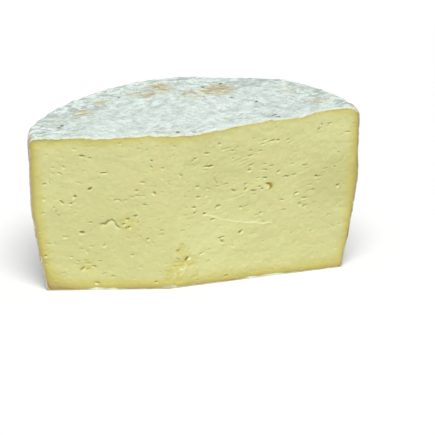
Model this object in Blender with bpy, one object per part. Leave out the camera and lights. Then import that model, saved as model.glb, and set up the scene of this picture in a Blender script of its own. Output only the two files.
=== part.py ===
"""A farmhouse wheel of pale cow's milk cheese, cut down to a little over half.

The wheel was pressed in a round mould and ripened standing on its base: it leans in
towards the base, its top has sunk a little and lies higher on one side, and its shoulder
is round.  Two straight knife cuts, which meet in a blunt fold just in front of the
wheel's axis, took the rest away.

The frame: +Z up, the wheel's axis on its flat base at the origin, +X to the right and
the two cut faces towards -Y.  Metres.
"""

import math

import bmesh
import bpy
from mathutils import Matrix, Vector

# The wheel.
WHEEL_RADIUS = 0.105  # at its widest, over the upper half of the side
WHEEL_HEIGHT = 0.1063  # over which the top slopes and sinks
BASE_LEAN = 0.0082  # how far the side leans in down to the base
LEAN_REACH = 0.565  # the share of the height in which it leans
LEAN_POWER = 1.3  # how much of the lean keeps to the lowest part of it
BASE_EDGE = 0.0022  # rounding between the side and the base
SHOULDER = 0.0090  # rounding between the side and the top, at the back
SHOULDER_RIGHT = 0.0082  # the same rounding at +X, where it is sharper
SHOULDER_LEFT = 0.0048  # and at -X, where it is sharpest

# The top: how much it rises towards the rim at +X and at +Y, how far its middle has
# sunk, and its swellings and dips, each with its place, its reach and its height.
TOP_RISE_X = 0.0044
TOP_RISE_Y = 0.0015
TOP_DISH = 0.0031
TOP_SWELLS = (
    (-0.072, -0.017, 0.007, 0.0009),
    (-0.062, -0.018, 0.008, -0.0008),
    (-0.029, -0.015, 0.006, 0.0010),
    (-0.007, -0.014, 0.004, 0.0008),
    (0.000, -0.014, 0.010, -0.0006),
    (0.010, -0.009, 0.005, 0.0006),
    (0.038, -0.002, 0.012, 0.0012),
    (0.047, 0.003, 0.006, 0.0011),
    (0.069, 0.011, 0.004, -0.0007),
    (0.077, 0.013, 0.005, 0.0009),
    (0.082, 0.012, 0.012, 0.0010),
    (0.020, 0.092, 0.018, -0.0014),
    (-0.070, 0.062, 0.026, -0.0012),
    (-0.095, 0.036, 0.016, -0.0014),
    (0.060, 0.078, 0.024, 0.0007),
)

# The side's long, low waves: how many go round, how far each twists over the wheel's
# height and where it starts, in radians, and how far it stands out.
SIDE_WAVES = ((3, 2.0, 0.6, 0.00045), (7, -3.0, 3.1, 0.00030), (12, 5.0, 2.2, 0.00018))

# The two knife cuts, which share the slanting line from the fold's foot to its top.
FOLD_TOP = Vector((-0.0046, -0.0138, WHEEL_HEIGHT))
FOLD_FOOT = Vector((-0.0178, -0.0155, 0.0))
LEFT_CUT = math.radians(182.1)
RIGHT_CUT = math.radians(18.5)

# The larger openings in the paste: the cut that shows each, its distance from the fold,
# its height, its length, its width, its depth, and its slope in degrees.
OPENINGS = (
    (LEFT_CUT, 0.0654, 0.0871, 0.0060, 0.0016, 0.0016, 20),
    (LEFT_CUT, 0.0589, 0.0678, 0.0034, 0.0026, 0.0020, 0),
    (LEFT_CUT, 0.0664, 0.0626, 0.0038, 0.0022, 0.0018, 15),
    (LEFT_CUT, 0.0598, 0.0394, 0.0040, 0.0028, 0.0024, -10),
    (LEFT_CUT, 0.0425, 0.0450, 0.0130, 0.0034, 0.0022, -32),
    (LEFT_CUT, 0.0762, 0.0562, 0.0046, 0.0030, 0.0018, 30),
    (LEFT_CUT, 0.0519, 0.0164, 0.0060, 0.0036, 0.0018, -20),
    (RIGHT_CUT, 0.0125, 0.0825, 0.0060, 0.0016, 0.0016, 25),
    (RIGHT_CUT, 0.0536, 0.0635, 0.0044, 0.0034, 0.0026, 0),
    (RIGHT_CUT, 0.0382, 0.0628, 0.0048, 0.0020, 0.0018, 10),
    (RIGHT_CUT, 0.0503, 0.0930, 0.0042, 0.0018, 0.0016, 20),
    (RIGHT_CUT, 0.0080, 0.0105, 0.0090, 0.0050, 0.0016, -55),
)

# The grid of the rind's surface.
SEGMENTS = 128  # round a whole wheel
SIDE_STEP = 0.0055
TOP_STEP = 0.0062
EDGE_STEPS = 3
SHOULDER_STEPS = 6
SNAP = 1e-5  # corners this close to a cut are moved onto it

BALL_DIVISIONS = 2  # of the balls that hollow out the openings

PASTE_COLOUR = (0.68, 0.66, 0.32, 1.0)
PASTE_ROUGHNESS = 0.55
SHARP_ANGLE = math.radians(35)


def top_height(x, y):
    """Height of the top over a place on the base: a sloping dish with its swellings."""
    edge_share = (x * x + y * y) / WHEEL_RADIUS**2
    slope = (TOP_RISE_X * x + TOP_RISE_Y * y) / WHEEL_RADIUS
    swells = sum(
        rise * math.exp(-((x - at_x) ** 2 + (y - at_y) ** 2) / (2 * reach**2))
        for at_x, at_y, reach, rise in TOP_SWELLS
    )
    return WHEEL_HEIGHT + slope - TOP_DISH * (1 - edge_share) + swells


def side_radius(azimuth, height_share):
    """Radius of the side: a soft lean towards the base, with the side's low waves."""
    lean = BASE_LEAN * max(1 - height_share / LEAN_REACH, 0.0) ** LEAN_POWER
    waves = sum(
        rise * math.sin(count * azimuth + twist * height_share + start)
        for count, twist, start, rise in SIDE_WAVES
    )
    return WHEEL_RADIUS - lean + waves


def shoulder_rounding(azimuth):
    """Rounding of the shoulder: widest at the back and sharper towards +X and -X."""
    sideways = math.cos(azimuth)
    at_side = SHOULDER_RIGHT if sideways > 0 else SHOULDER_LEFT
    return SHOULDER + (at_side - SHOULDER) * sideways**2


def half_section(azimuth):
    """Radius and height of each corner from the base's rim, up the side and over the top."""
    section = []
    rim = side_radius(azimuth, 0.0) - BASE_EDGE
    for step in range(EDGE_STEPS):
        turn = math.pi / 2 * step / EDGE_STEPS
        section.append((rim + BASE_EDGE * math.sin(turn), BASE_EDGE * (1 - math.cos(turn))))

    shoulder = shoulder_rounding(azimuth)
    side_top = WHEEL_HEIGHT - shoulder
    side_steps = round((WHEEL_HEIGHT - SHOULDER - BASE_EDGE) / SIDE_STEP)
    for step in range(side_steps + 1):
        height = BASE_EDGE + (side_top - BASE_EDGE) * step / side_steps
        section.append((side_radius(azimuth, height / WHEEL_HEIGHT), height))

    top_rim = side_radius(azimuth, side_top / WHEEL_HEIGHT) - shoulder
    for step in range(1, SHOULDER_STEPS + 1):
        turn = math.pi / 2 * step / SHOULDER_STEPS
        section.append((top_rim + shoulder * math.cos(turn), side_top + shoulder * math.sin(turn)))

    top_steps = round((WHEEL_RADIUS - SHOULDER) / TOP_STEP)
    for step in range(1, top_steps):
        section.append((top_rim * (1 - step / top_steps), WHEEL_HEIGHT))
    return section


def whole_wheel():
    """The uncut wheel: rings of corners up the half section, closed by the base and a middle."""
    mesh = bmesh.new()
    columns = []
    for segment in range(SEGMENTS):
        azimuth = 2 * math.pi * segment / SEGMENTS
        column = []
        for radius, height in half_section(azimuth):
            x = radius * math.cos(azimuth)
            y = radius * math.sin(azimuth)
            z = height * top_height(x, y) / WHEEL_HEIGHT
            column.append(mesh.verts.new((x, y, z)))
        columns.append(column)

    middle = mesh.verts.new((0.0, 0.0, top_height(0.0, 0.0)))
    for column, neighbour in zip(columns, columns[1:] + columns[:1]):
        for low in range(len(column) - 1):
            mesh.faces.new((column[low], neighbour[low], neighbour[low + 1], column[low + 1]))
        mesh.faces.new((column[-1], neighbour[-1], middle))
    mesh.faces.new([column[0] for column in reversed(columns)])
    return mesh


def outward(cut):
    """The direction, square to a cut face, in which the cheese was taken away."""
    along = Vector((math.cos(cut), math.sin(cut), 0.0))
    normal = along.cross(FOLD_TOP - FOLD_FOOT).normalized()
    return normal if normal.y < 0 else -normal


def slice_off(mesh, cut):
    """One knife cut: drops what lies beyond the cut's plane and closes the new face."""
    everything = mesh.verts[:] + mesh.edges[:] + mesh.faces[:]
    bmesh.ops.bisect_plane(
        mesh,
        geom=everything,
        dist=SNAP,
        plane_co=FOLD_FOOT,
        plane_no=outward(cut),
        clear_outer=True,
    )
    rim = [edge for edge in mesh.edges if edge.is_boundary]
    bmesh.ops.contextual_create(mesh, geom=rim)


def add_object(name, mesh):
    """Puts a bmesh in the scene as an object with smooth shading and sharp corners."""
    bmesh.ops.recalc_face_normals(mesh, faces=mesh.faces[:])
    data = bpy.data.meshes.new(name)
    mesh.to_mesh(data)
    mesh.free()
    data.shade_smooth()
    data.set_sharp_from_angle(angle=SHARP_ANGLE)
    placed = bpy.data.objects.new(name, data)
    bpy.context.scene.collection.objects.link(placed)
    return placed


def openings():
    """One flattened ball for each opening, half sunk into its cut face."""
    mesh = bmesh.new()
    for cut, distance, height, length, width, depth, slope in OPENINGS:
        normal = outward(cut)
        along = Vector((math.cos(cut), math.sin(cut), 0.0))
        across = normal.cross(along)
        fold = FOLD_FOOT.lerp(FOLD_TOP, height / WHEEL_HEIGHT)
        face_axes = Matrix((along, across, normal)).transposed().to_4x4()
        place = Matrix.Translation(fold + along * distance) @ face_axes
        place = place @ Matrix.Rotation(math.radians(slope), 4, "Z")
        place = place @ Matrix.Diagonal((length / 2, width / 2, depth, 1.0))
        bmesh.ops.create_icosphere(
            mesh, subdivisions=BALL_DIVISIONS, radius=1.0, matrix=place
        )
    cutter = add_object("openings", mesh)
    cutter.hide_render = True
    cutter.display_type = "WIRE"
    return cutter


def paste_material():
    """Pale yellow, waxy paste."""
    material = bpy.data.materials.new("paste")
    material.use_nodes = True
    shader = material.node_tree.nodes["Principled BSDF"]
    shader.inputs["Base Color"].default_value = PASTE_COLOUR
    shader.inputs["Roughness"].default_value = PASTE_ROUGHNESS
    shader.inputs["Metallic"].default_value = 0.0
    return material


def build_cheese():
    """The wheel, its two knife cuts and the openings that they show."""
    mesh = whole_wheel()
    slice_off(mesh, LEFT_CUT)
    slice_off(mesh, RIGHT_CUT)
    cheese = add_object("cheese", mesh)
    cheese.data.materials.append(paste_material())
    pits = cheese.modifiers.new("openings", "BOOLEAN")
    pits.operation = "DIFFERENCE"
    pits.solver = "EXACT"
    pits.object = openings()


for leftover in list(bpy.data.objects):
    bpy.data.objects.remove(leftover, do_unlink=True)

build_cheese()
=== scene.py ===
import math

import bpy
import numpy as np
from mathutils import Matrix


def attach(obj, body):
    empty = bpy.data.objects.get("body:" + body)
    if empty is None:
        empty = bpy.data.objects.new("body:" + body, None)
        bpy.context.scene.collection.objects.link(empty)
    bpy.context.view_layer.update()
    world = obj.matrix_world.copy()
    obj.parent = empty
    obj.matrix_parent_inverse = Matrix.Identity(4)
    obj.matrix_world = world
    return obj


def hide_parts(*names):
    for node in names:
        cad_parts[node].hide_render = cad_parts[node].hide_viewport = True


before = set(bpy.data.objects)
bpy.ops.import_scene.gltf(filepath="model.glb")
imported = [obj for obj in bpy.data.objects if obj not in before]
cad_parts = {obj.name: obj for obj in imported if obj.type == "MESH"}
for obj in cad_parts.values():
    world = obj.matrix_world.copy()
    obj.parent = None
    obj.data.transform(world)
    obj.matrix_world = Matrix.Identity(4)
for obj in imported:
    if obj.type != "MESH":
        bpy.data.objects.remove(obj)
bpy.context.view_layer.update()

# The paste: one pressed block of pale, crumbly cow's milk cheese, a little over half of a
# wheel. It is laid up from level rings, one on another from the base to the top. Each ring
# runs out along the right cut, round behind under the rind, and back in along the left cut.

MM = 0.001

# The wheel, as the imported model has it.
WHEEL_RADIUS = 105.0 * MM
WHEEL_HEIGHT = 106.3 * MM
BASE_LEAN = 8.2 * MM  # how far the side leans in at the base
LEAN_REACH = 0.565  # and up to which share of the height
LEAN_POWER = 1.3
BASE_EDGE = 2.2 * MM
SHOULDER = 9.0 * MM
SHOULDER_RIGHT = 8.2 * MM
SHOULDER_LEFT = 4.8 * MM
TOP_RISE_X = 4.4 * MM
TOP_RISE_Y = 1.5 * MM
TOP_DISH = 3.1 * MM
# Place, reach and rise of each swelling or dip of the top, in millimetres.
TOP_SWELLS = (
    (-72, -17, 7, 0.9), (-62, -18, 8, -0.8), (-29, -15, 6, 1), (-7, -14, 4, 0.8),
    (0, -14, 10, -0.6), (10, -9, 5, 0.6), (38, -2, 12, 1.2), (47, 3, 6, 1.1), (69, 11, 4, -0.7),
    (77, 13, 5, 0.9), (82, 12, 12, 1), (20, 92, 18, -1.4), (-70, 62, 26, -1.2),
    (-95, 36, 16, -1.4), (60, 78, 24, 0.7),
)
# Waves round the side: number, twist and start in radians, and height in millimetres.
SIDE_WAVES = ((3, 2.0, 0.6, 0.45), (7, -3.0, 3.1, 0.30), (12, 5.0, 2.2, 0.18))
# The line that the two cuts share, and their directions.
FOLD_TOP = np.array([-4.6, -13.8, 106.3]) * MM
FOLD_FOOT = np.array([-17.8, -15.5, 0.0]) * MM
RIGHT_CUT = math.radians(18.5)
LEFT_CUT = math.radians(182.1)

# Stations of the path up the half section, which half_section() follows.
FOLD_ON_BASE, BASE_RIM, SIDE_FOOT, SIDE_TOP, TOP_RIM, FOLD_ON_TOP = range(6)

# The paste's grid, and its fit under the rind.
UNDER_RIND = 0.3 * MM  # how far its cut edge reaches in behind the rind's
WELL_UNDER = 2.6 * MM  # how far its hidden skin keeps from the outside
RECESS = 0.1 * MM  # how far the cut paste lies behind the rind's cut edge
FOLLOW = 5  # how quickly the cuts' border stops following the rind's wrinkles
FOLD_REACH = 7.0  # how far out the fold is blunted, in millimetres
FOLD_SAG = 0.5  # and by how much at most
RIGHT_STEPS = 196
LEFT_STEPS = 155
BACK_STEPS = 12
PASTE_ROWS = (4, 236, 18)  # round the base's edge, up the side, and round the shoulder
LID_ROWS = 5
LID_MIDDLE = np.array([0.0, 38.0]) * MM

# The openings that each cut shows: distance from the fold, height, length, width and
# depth in millimetres, and slope in degrees.
RIGHT_OPENINGS = (
    (6.5, 86, 2.7, 1.1, 1.3, 15), (5, 84.5, 1.5, 1.4, 1, 25), (10.5, 67, 2.4, 1.3, 1, -15),
    (12, 60, 2.9, 1, 1.3, -5), (10, 53.5, 2.5, 1.3, 1.3, -10), (10.5, 49.5, 2, 1.3, 1.2, -5),
    (17.5, 48.5, 2, 1.5, 1.5, -15), (23.5, 44, 2.3, 1.7, 1.5, 15), (26, 52.5, 4.3, 1.6, 1.5, 20),
    (14, 88.5, 3.7, 0.9, 1.2, 0), (21.5, 94, 1.8, 1.3, 1, 25), (26, 90.5, 5.3, 0.8, 0.9, 15),
    (30.5, 88.5, 2.7, 0.9, 1, 5), (32, 83.5, 1.7, 1.3, 1, 5), (16, 80, 6.5, 1.2, 1.7, 0),
    (42.5, 87.5, 3, 0.9, 0.9, 0), (49, 86.5, 2.8, 1, 1.1, 0), (43, 84, 3.2, 1.1, 1, 10),
    (44.5, 78, 3.1, 0.9, 1.2, 25), (44, 74.5, 2.1, 1.3, 1.3, -15), (54, 73.5, 3.4, 0.8, 0.9, -5),
    (58.5, 76, 3.2, 0.9, 1.1, 5), (63.5, 71.5, 2.6, 1.5, 1.5, 15), (44, 95.5, 1.4, 0.9, 0.9, 25),
    (51, 93.5, 2.5, 0.9, 1, 25), (56, 92.5, 4.6, 0.9, 1.3, 5), (60, 92.5, 2.1, 1.3, 1.4, -15),
    (50.5, 68.5, 3.5, 0.9, 1.1, 15), (55, 68, 2.8, 1, 1.2, -15), (54, 61, 1.9, 1, 1.2, -15),
    (52, 63, 2.4, 0.9, 1.1, 0), (48, 60.5, 3.3, 1.4, 2, -15), (42.5, 65, 1.5, 1.5, 1.5, 65),
    (43, 62, 2.6, 1.4, 1.5, 45), (35, 62, 3.4, 0.8, 1, -25), (23.5, 66, 2.6, 0.9, 1.2, 0),
    (22, 69.5, 4.5, 0.8, 0.9, -50), (29, 67, 3.2, 0.9, 0.9, 5), (41.5, 50, 2.5, 1.4, 1.1, 0),
    (45.5, 50.5, 2.1, 1.1, 1, 0), (55.5, 44.5, 1.8, 1.6, 1.3, 15), (58, 38.5, 1.7, 1.4, 1.2, -5),
    (43.5, 33.5, 2.8, 1.7, 1.8, 40), (31, 31, 4.8, 1.3, 1.5, 10), (31.5, 28.5, 3.7, 1.1, 1.4, -45),
    (18.5, 21.5, 2.7, 1.1, 1.1, 5), (69.5, 67.5, 4.7, 1.1, 1.4, 0), (75, 68, 2.3, 1.3, 1.3, 0),
    (72.5, 75.5, 3.1, 0.9, 1, 0), (81.5, 73.5, 4.1, 0.9, 1.3, -5), (95.5, 70, 2.3, 1, 1, 15),
    (102, 70.5, 1.5, 0.9, 0.9, -5), (90.5, 65.5, 2.5, 1.6, 2, -15), (93, 65, 1.9, 0.9, 1.1, 15),
    (106, 57.5, 2.4, 1.5, 2, 5), (78, 55.5, 3, 1.3, 1.5, 25), (89.5, 56.5, 2.8, 1.1, 1, 5),
    (84, 51.5, 4.1, 1.3, 1.1, -5), (69, 52, 2.9, 0.9, 1, -5), (81.5, 47.5, 2, 1.7, 1.2, 15),
    (85.5, 46, 2.4, 1.8, 1.4, 10), (71, 45, 2.5, 1.1, 1.3, 0), (88.5, 100, 2.1, 1.3, 1.3, -15),
    (94, 100, 4.4, 0.9, 1.1, 0), (87, 97, 1.6, 1.3, 1.3, 5), (107.5, 93, 4.3, 1.1, 1.1, -10),
    (103, 80, 1.8, 0.9, 0.9, -5), (67, 92.5, 2.4, 0.9, 0.9, 35), (68.5, 90.5, 2.2, 0.9, 0.9, 35),
    (3, 25.5, 3.4, 0.9, 1.2, -5), (9.5, 19, 3.2, 2, 1.8, 85), (3.5, 20, 3.5, 0.9, 1.2, -15),
)
LEFT_OPENINGS = (
    (69, 93.5, 2.2, 1, 1, 0), (86, 90, 1.6, 1.3, 1, -10), (64, 89, 4, 1.2, 1.5, 5),
    (59, 88, 2.5, 0.9, 1, 5), (74.5, 82, 2.3, 0.9, 1.1, 25), (76.5, 77.5, 3.3, 0.9, 1.1, 30),
    (49.5, 78, 5.2, 0.9, 1.2, 0), (85.5, 71, 2.4, 1.3, 1.3, -15), (82.5, 72, 2.7, 1.1, 1.1, 75),
    (57, 67.5, 2.7, 1.5, 2, -25), (65.5, 62.5, 2.1, 1.6, 2, 35), (85, 61, 1.8, 1.3, 1, -15),
    (73.5, 59, 4.4, 1.2, 1.5, 40), (68, 58, 2, 1.2, 1.4, 0), (78, 55.5, 1.3, 1.2, 1.1, 0),
    (76.5, 53, 1.6, 1.2, 1.1, 0), (84.5, 52, 1.6, 1.1, 1.1, 0), (74.5, 50.5, 1.7, 1, 1, 20),
    (54.5, 45.5, 3.7, 0.8, 1, 0), (59, 39, 3, 1.7, 2.2, 15), (69, 36, 3.8, 1.4, 1, 5),
    (75.5, 32, 2.4, 1, 1.1, 85), (44, 30, 2.2, 1.3, 1.3, -10), (54, 26, 2.8, 1.1, 0.9, 50),
    (80, 23.5, 1.6, 1, 1.2, 0), (70.5, 23, 1.4, 1, 1.1, -75), (64, 22.5, 2.2, 0.9, 1.1, 10),
    (46, 19.5, 3.1, 0.9, 1.2, -10), (53, 18, 4.4, 0.9, 1.1, 0), (59, 17, 1.4, 0.9, 0.9, 10),
    (56, 14.5, 3.6, 1.5, 1.5, -50), (53, 14, 1.9, 1, 1, 0), (49, 16, 3.2, 1.3, 1.5, 30),
    (42, 11, 2.7, 0.9, 1.1, 0), (36, 9, 2.9, 1, 1.2, 20), (46, 5, 3.3, 1.2, 1.3, 15),
    (40, 60, 1.4, 1.3, 1.2, 0), (38, 60, 2.8, 0.9, 1.1, 35), (21, 85.5, 2.2, 1.3, 1.6, 30),
    (20.5, 81.5, 2, 1, 1.1, 60), (13.5, 80.5, 1.8, 1.2, 1.2, 0), (25, 71.5, 3.3, 1.3, 1.2, 5),
    (28, 66, 1.9, 1.3, 1.1, 10), (16.5, 64, 3.3, 1.5, 1.6, 40), (30, 62, 2.5, 0.9, 0.9, 0),
    (27, 62.5, 3.1, 0.9, 0.9, -5), (23, 62.5, 2.2, 1.2, 0.9, 0), (22, 56.5, 3.1, 0.9, 1, 0),
    (31.5, 47, 2, 1.3, 1.4, 5), (26.5, 49.5, 2, 1.5, 1.5, -40), (33.5, 44, 2.5, 1, 1.4, -30),
    (36, 41.5, 1.8, 1, 1.2, 15), (30, 42, 1.7, 1.6, 1.6, -45), (31.5, 41, 1.4, 0.9, 1.3, -85),
    (25, 45, 2.3, 1.2, 1.3, 80), (17, 34, 2.2, 1.4, 1.3, -15), (11.5, 46.5, 1.9, 1.3, 1, -70),
    (9, 39.5, 2.3, 0.9, 1.4, 0), (26, 23.5, 1.4, 1.4, 1, 0), (8.5, 5, 2, 1.2, 1.5, 0),
    (0.5, 75.5, 2.5, 0.9, 1, 10),
)
FLOOR_EDGE = (0.55, 1.25)  # where an opening's floor ends, in half widths of its ellipse
LOWER_FLOOR = 0.33  # how deep the floor still is at its lower edge, as a share
FLOOR_SINK = 0.8  # how far an opening sinks and its lip rises, for each millimetre of depth
LIP_RISE = 0.16
LIP_BELOW, LIP_THICK = 1.8, 0.6  # in half widths of the ellipse
LIP_LONG = 0.9  # in half lengths of it
# The lip's share, palest from LIP_FULL on, is painted highlight; the floor's share, darkest at
# DEEPEST, is painted shade.
LIP_FULL = 1.5  # the depth, in millimetres, from which a lip is palest
DEEPEST = 2.2  # the depth, in millimetres, whose floor is darkest

# Smaller openings that each cut has besides: how many, how far from the fold and how high
# they reach, in millimetres, and the slope that they keep near, in degrees.
RIGHT_SMALL = (300, 114, 103, 14)
LEFT_SMALL = (220, 86, 98, 5)
SMALL_SPANS = ((0.9, 3.2), (0.6, 1.2), (0.1, 0.7))  # of their lengths, widths and depths
SMALL_SCATTER = 20  # of their slopes, in degrees

# The cuts' surface: heights and sizes in millimetres.
RIGHT_ROUGH = 1.9  # how much rougher than DENTS and SEAM_DEPTH each cut is
LEFT_ROUGH = 1.7
DENTS = ((31, 0.27), (10, 0.13), (4.5, 0.15), (2.2, 0.09), (1.2, 0.05))  # size and height
KNIFE_WAVE = 0.18
KNIFE_WAVE_SIZE = 9
DRAWN_LEVEL = [0.3, 0.3, 1.0]  # draws the knife's waves out level
SEAM_DEPTH = 0.13
SEAM_SIZE = 4
SEAM_PATCH = 11  # how large the patches are in which seams show
SEAM_LEAN = math.radians(16)  # how the seams between the curds slope
BEAD_SIZE = 1.5  # of the uneven floors of the openings
LIP_TEAR_SIZE = 4  # of the stretches over which a lip is torn away
CLEAR_OF_RIND = 4  # how far from the rind the surface reaches its full unevenness

# Tears and scratches, as places along their length, in millimetres from the fold and up,
# with their width and their depth or rise.
TEAR = ((47.6, 44.5), (45, 44.9), (43.6, 46.5), (41, 47), (39.3, 46), (38, 43.3), (35.8, 41.8))
TEAR_FALL = 2.0  # how far below its line the tear's scoop dies out
TEAR_DEPTH = 1.0
UNDERCUT_DEPTH = 0.4
SCRATCH = ((18.5, 47.5), (26, 44.5), (34.5, 41.5), (42, 40.3), (57, 37.5), (64, 37))
SCRATCH_WIDTH = 0.5
SCRATCH_RISE = 0.30
NOTCH = ((34, 62.5), (35.3, 61), (36.5, 62))
NOTCH_WIDTH = 0.4
NOTCH_DEPTH = 0.7
SLIT = ((21, 72), (23.5, 67.5))
SLIT_WIDTH = 0.35
SLIT_DEPTH = 0.5

# The knife's ledge: a place on it, its slope, where it begins, and its height. And a patch
# of torn ripples: its middle, its reach along and up, and its height. In millimetres.
LEDGE_ALONG, LEDGE_UP = 80, 89.6
LEDGE_SLOPE = -0.104
LEDGE_BEGINS = (76, 82)
LEDGE_RISE = 0.10
RIPPLES_ALONG, RIPPLES_UP = 40, 80.5
RIPPLES_REACH, RIPPLES_TALL = 8, 5
RIPPLE_RISE = 0.14

# Crumbly spots: distance from the fold, less than 0 on the left cut, height, reach along
# and up, and how crumbly.
CRUMBLED = ((6, 15, 11, 17, 1.0), (-53, 15.5, 6.5, 5, 0.6), (-30, 44.5, 8, 6, 0.5))

# The one large eye: its middle, its length and its width, in millimetres.
EYE_ALONG, EYE_UP = 57.2, 61.5
EYE_LENGTH, EYE_WIDTH = 7.0, 5.6
EYE_DEPTH = 1.5  # of the crescent along its edge
EYE_BALL = 0.3  # how high the curd in its middle stands
EYE_LIP = 0.15  # how high the paste round the crescent stands
EYE_TOWARDS = (0.86, 0.5)  # where the crescent's middle lies: to the right, and up

# The ripe band under the rind: the width, in millimetres, by which its colour is measured.
TOP_BAND = 0.7
FOOT_BAND = 1.5
SIDE_BAND = 1.4
BAND_LEAST = 0.15
BAND_ROUNDING = 3.0  # how sharply the bands meet in the corners
CORNER_WIDE = 10  # of the left cut's lower corner, where the band is widest
CORNER_TALL = 12

# The rind's wrinkles, which the cuts' border follows: size in millimetres, seed and height.
WRINKLES = ((11, 65, 0.50), (5.2, 66, 0.40), (2.6, 67, 0.22))
WRINKLE_BEND = 3.2 * MM  # how far their lines are bent
BEND_SIZE = 11
RIND_DENT = 0.30  # height of the rind's broad dents
RIND_DENT_SIZE = 27
FLAT_FOOT = 6 * MM  # how far above the base the wrinkles reach their full height

# Broad tones of each cut: middle, reach and how much lighter. The right cut's are painted
# light and painted shade, lighter or darker in broad patches.
RIGHT_PAINTED_LIGHT_AND_SHADE = (
    (22, 32, 20, 0.6), (101, 68, 14, -0.6), (109, 64, 8, -0.6), (20, 78, 18, -0.35),
    (97, 88, 12, 0.5),
)
LEFT_TONES = (
    (30, 38, 26, -0.3), (72, 42, 20, -0.25),
)


def bells(x, y, entries):
    """Sum of one bell for each entry: its place in x and y, its reach and its height."""
    total = 0.0
    for at_x, at_y, reach, height in entries:
        total = total + height * np.exp(-((x - at_x) ** 2 + (y - at_y) ** 2) / (2 * reach**2))
    return total


def top_height(x, y):
    """Height of the wheel's top: level, plus a slope to +X and +Y, less a dish that is
    deepest on the axis, plus a bell for each entry of TOP_SWELLS."""
    height = WHEEL_HEIGHT + (TOP_RISE_X * x + TOP_RISE_Y * y) / WHEEL_RADIUS
    height = height - TOP_DISH * (1 - (x * x + y * y) / WHEEL_RADIUS**2)
    return height + MM * bells(x / MM, y / MM, TOP_SWELLS)


def side_radius(azimuth, share):
    """Radius of the side at a share of the height: the wheel's radius, less a power curve
    that leans the lower part in, plus a few sine waves round the wheel."""
    radius = WHEEL_RADIUS - BASE_LEAN * np.maximum(1 - share / LEAN_REACH, 0) ** LEAN_POWER
    for count, twist, start, rise in SIDE_WAVES:
        radius = radius + rise * MM * np.sin(count * azimuth + twist * share + start)
    return radius


def half_section(azimuth, path):
    """Radius and height on the wheel's half section, which follows the stations: level
    out over the base, a quarter round, up the side, a quarter round, and level in. The
    upper round is widest at the back, and sharper by the cosine squared towards each side."""
    sideways = np.cos(azimuth)
    at_side = np.where(sideways > 0, SHOULDER_RIGHT, SHOULDER_LEFT)
    shoulder = SHOULDER + (at_side - SHOULDER) * sideways**2
    side_top = WHEEL_HEIGHT - shoulder
    lower = np.clip(path - BASE_RIM, 0, 1) * math.pi / 2
    upper = np.clip(path - SIDE_TOP, 0, 1) * math.pi / 2
    side = BASE_EDGE * (1 - np.cos(lower))
    side = side + np.clip(path - SIDE_FOOT, 0, 1) * (side_top - BASE_EDGE)
    radius = side_radius(azimuth, side / WHEEL_HEIGHT) - BASE_EDGE * (1 - np.sin(lower))
    return radius - shoulder * (1 - np.cos(upper)), side + shoulder * np.sin(upper)


FITTING_ROUNDS = 6


def wheel_places(turn, out, path, inset):
    """Places in the cut wheel: from the fold, at the place's own height, `out` of the way
    in the direction `turn` to the half section, which is drawn in by `inset` all round.

    The fold slants and the outside depends on the azimuth that the place turns out to
    have, so both are worked out again from the last answer, FITTING_ROUNDS times."""
    turn, out, path, inset = np.broadcast_arrays(turn, out, path, inset)
    along_x, along_y = np.cos(turn), np.sin(turn)
    azimuth = turn
    z = half_section(azimuth, path)[1]
    for _ in range(FITTING_ROUNDS):
        fold = FOLD_FOOT + (FOLD_TOP - FOLD_FOOT) * (z / WHEEL_HEIGHT)[..., None]
        radius, height = half_section(azimuth, path)
        towards = fold[..., 0] * along_x + fold[..., 1] * along_y
        beyond = fold[..., 0] ** 2 + fold[..., 1] ** 2 - (radius - inset) ** 2
        reach = np.sqrt(towards**2 - beyond) - towards
        rim_x, rim_y = fold[..., 0] + along_x * reach, fold[..., 1] + along_y * reach
        azimuth = np.arctan2(rim_y, rim_x)
        x, y = fold[..., 0] + along_x * reach * out, fold[..., 1] + along_y * reach * out
        z = inset + (top_height(x, y) - 2 * inset) * height / WHEEL_HEIGHT
    return np.stack([x, y, z], axis=-1)


HILL_CUBES = 64  # how many cubes of hills lie along each axis before they repeat


def unevenness(places, size, seed):
    """Soft random hills between -1 and 1, about `size` millimetres apart: space is cut
    into cubes, each cube's corners have random heights, and a place takes the mean of its
    eight corners, weighted by a smooth step along each axis."""
    heights = np.random.default_rng(seed).uniform(-1, 1, (HILL_CUBES,) * 3)
    scaled = places / (size * MM)
    cell = np.floor(scaled).astype(int)
    near = scaled - cell
    near = near * near * (3 - 2 * near)
    hills = np.zeros(places.shape[:-1])
    for corner in np.ndindex(2, 2, 2):
        share = np.prod(np.where(corner, near, 1 - near), axis=-1)
        x, y, z = np.moveaxis((cell + corner) % HILL_CUBES, -1, 0)
        hills = hills + share * heights[x, y, z]
    return hills


def smooth_step(low, high, value):
    """0 up to low, 1 from high on, and an even S between."""
    share = np.clip((value - low) / (high - low), 0, 1)
    return share * share * (3 - 2 * share)


def trail(along, up, points, width):
    """A bell across a line through the points, 1 on the line and dying out by the width.
    The distance from the line is the least of those from its stretches, each measured
    square to the stretch or from its nearer end."""
    nearest = np.full(along.shape, np.inf)
    for (a, b), (c, d) in zip(points, points[1:]):
        run = ((along - a) * (c - a) + (up - b) * (d - b)) / ((c - a) ** 2 + (d - b) ** 2)
        run = np.clip(run, 0, 1)
        nearest = np.minimum(nearest, np.hypot(along - a - run * (c - a), up - b - run * (d - b)))
    return np.exp(-((nearest / width) ** 2))


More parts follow.
